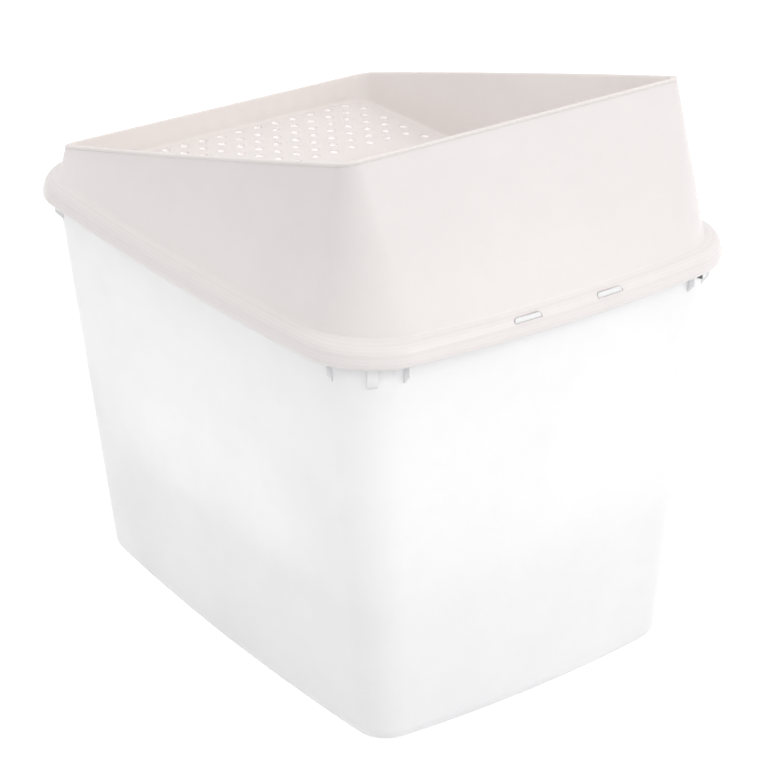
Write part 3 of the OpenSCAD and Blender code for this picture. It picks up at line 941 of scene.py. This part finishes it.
class LITTERBOX_OT_stage(bpy.types.Operator):
    """Builds the floor, the surround, the lamps and the camera"""

    bl_idname = "litterbox.stage"
    bl_label = "Studio"

    def execute(self, context):
        self.floor()
        self.surround()
        st = settings("lb_stage")
        self.lamp("key lamp", *KEY_LAMP, st.key)
        self.lamp("top lamp", *TOP_LAMP, st.top)
        self.lamp("fill lamp", *FILL_LAMP, st.fill, seen=False)
        self.camera()
        return {"FINISHED"}

    def floor(self):
        """A plain pale floor, whose glow only the camera, mirrors and glass see."""
        st = settings("lb_stage")
        mesh = bpy.data.meshes.new("floor")
        mesh.from_pydata([(-FLOOR_HALF, -FLOOR_HALF, 0), (FLOOR_HALF, -FLOOR_HALF, 0),
                          (FLOOR_HALF, FLOOR_HALF, 0), (-FLOOR_HALF, FLOOR_HALF, 0)],
                         [], [(0, 1, 2, 3)])
        floor = bpy.data.objects.new("floor", mesh)
        bpy.context.scene.collection.objects.link(floor)
        floor.location.z = -FLOOR_DROP
        pale = bpy.data.materials.new("pale floor")
        pale.use_nodes = True
        tree = pale.node_tree
        shader = tree.nodes["Principled BSDF"]
        shader.inputs["Base Color"].default_value = (st.floor,) * 3 + (1.0,)
        shader.inputs["Roughness"].default_value = 0.9
        shader.inputs["Specular IOR Level"].default_value = 0.1
        glow = calc(tree, "MULTIPLY", any_view_ray(tree), st.floor_glow)
        shader.inputs["Emission Color"].default_value = WHITE
        tree.links.new(glow, shader.inputs["Emission Strength"])
        floor.data.materials.append(pale)

    def surround(self):
        """Even light all round, and white where the camera, mirrors and glass look."""
        st = settings("lb_stage")
        world = bpy.data.worlds.new("studio")
        bpy.context.scene.world = world
        world.use_nodes = True
        tree = world.node_tree
        light = tree.nodes["Background"]
        light.inputs["Strength"].default_value = st.ambient
        light.inputs["Color"].default_value = WHITE
        white = tree.nodes.new("ShaderNodeBackground")
        white.inputs["Color"].default_value = WHITE
        mix = tree.nodes.new("ShaderNodeMixShader")
        tree.links.new(any_view_ray(tree), mix.inputs[0])
        tree.links.new(light.outputs[0], mix.inputs[1])
        tree.links.new(white.outputs[0], mix.inputs[2])
        tree.links.new(mix.outputs[0], tree.nodes["World Output"].inputs["Surface"])

    def lamp(self, name, place_at, size, power, seen=True):
        """A square lamp that faces the target."""
        data = bpy.data.lights.new(name, "AREA")
        data.size = size
        data.energy = power
        made = bpy.data.objects.new(name, data)
        made.location = place_at
        made.visible_camera = made.visible_glossy = seen
        aim = Vector(LAMP_TARGET) - made.location
        made.rotation_euler = aim.to_track_quat("-Z", "Y").to_euler()
        bpy.context.scene.collection.objects.link(made)

    def camera(self):
        """Camera on the photograph's line of sight, turned about it by the roll."""
        az, el, roll = (math.radians(v) for v in
                        (CAMERA_AZIMUTH, CAMERA_ELEVATION, CAMERA_ROLL))
        back = Vector((math.sin(az) * math.cos(el), -math.cos(az) * math.cos(el),
                       math.sin(el)))
        right = Vector((math.cos(az), math.sin(az), 0.0))
        up = back.cross(right)
        turned = right * math.cos(roll) + up * math.sin(roll)
        upright = up * math.cos(roll) - right * math.sin(roll)
        data = bpy.data.cameras.new("camera")
        data.sensor_width = SENSOR
        data.lens = CAMERA_FOCUS * SENSOR / PHOTO_HEIGHT
        data.shift_x = (PHOTO_WIDTH / 2 - CAMERA_CENTRE[0]) / PHOTO_HEIGHT
        data.shift_y = (CAMERA_CENTRE[1] - PHOTO_HEIGHT / 2) / PHOTO_HEIGHT
        data.clip_start, data.clip_end = 0.05, 50.0
        made = bpy.data.objects.new("camera", data)
        axes = Matrix((turned, upright, back)).transposed().to_4x4()
        made.matrix_world = Matrix.Translation(CAMERA_PLACE) @ axes
        bpy.context.scene.collection.objects.link(made)
        bpy.context.scene.camera = made
        bpy.context.scene.view_settings.view_transform = "Standard"


# Add-on

class LITTERBOX_PT_panel(bpy.types.Panel):
    """Sidebar panel with the pieces and their settings"""

    bl_idname = "LITTERBOX_PT_panel"
    bl_label = "Litter box"
    bl_space_type = "VIEW_3D"
    bl_region_type = "UI"
    bl_category = "Litter box"

    def draw(self, context):
        """A button for each piece, and a box for each group of settings."""
        for operator in PIECES:
            self.layout.operator(operator.bl_idname)
        for name, kind in SETTINGS.items():
            box = self.layout.box()
            box.label(text=kind.__doc__)
            for label in kind.__annotations__:
                box.prop(getattr(context.scene, name), label)


SETTINGS = {"lb_bin": BinSettings, "lb_hood": HoodSettings, "lb_tray": TraySettings,
            "lb_stage": StageSettings}
PIECES = (LITTERBOX_OT_bin, LITTERBOX_OT_hood, LITTERBOX_OT_tray, LITTERBOX_OT_hooks,
          LITTERBOX_OT_stage)
CLASSES = tuple(SETTINGS.values()) + PIECES + (LITTERBOX_PT_panel,)


def register():
    """Registers the classes and puts the settings on the scene."""
    for kind in CLASSES:
        bpy.utils.register_class(kind)
    for name, kind in SETTINGS.items():
        setattr(bpy.types.Scene, name, PointerProperty(type=kind))


def unregister():
    """Takes the settings and the classes away again."""
    for name in SETTINGS:
        delattr(bpy.types.Scene, name)
    for kind in reversed(CLASSES):
        bpy.utils.unregister_class(kind)


def main():
    register()
    for piece in ("bin", "hood", "tray", "hooks", "stage"):
        getattr(bpy.ops.litterbox, piece)()


if __name__ == "__main__":
    main()
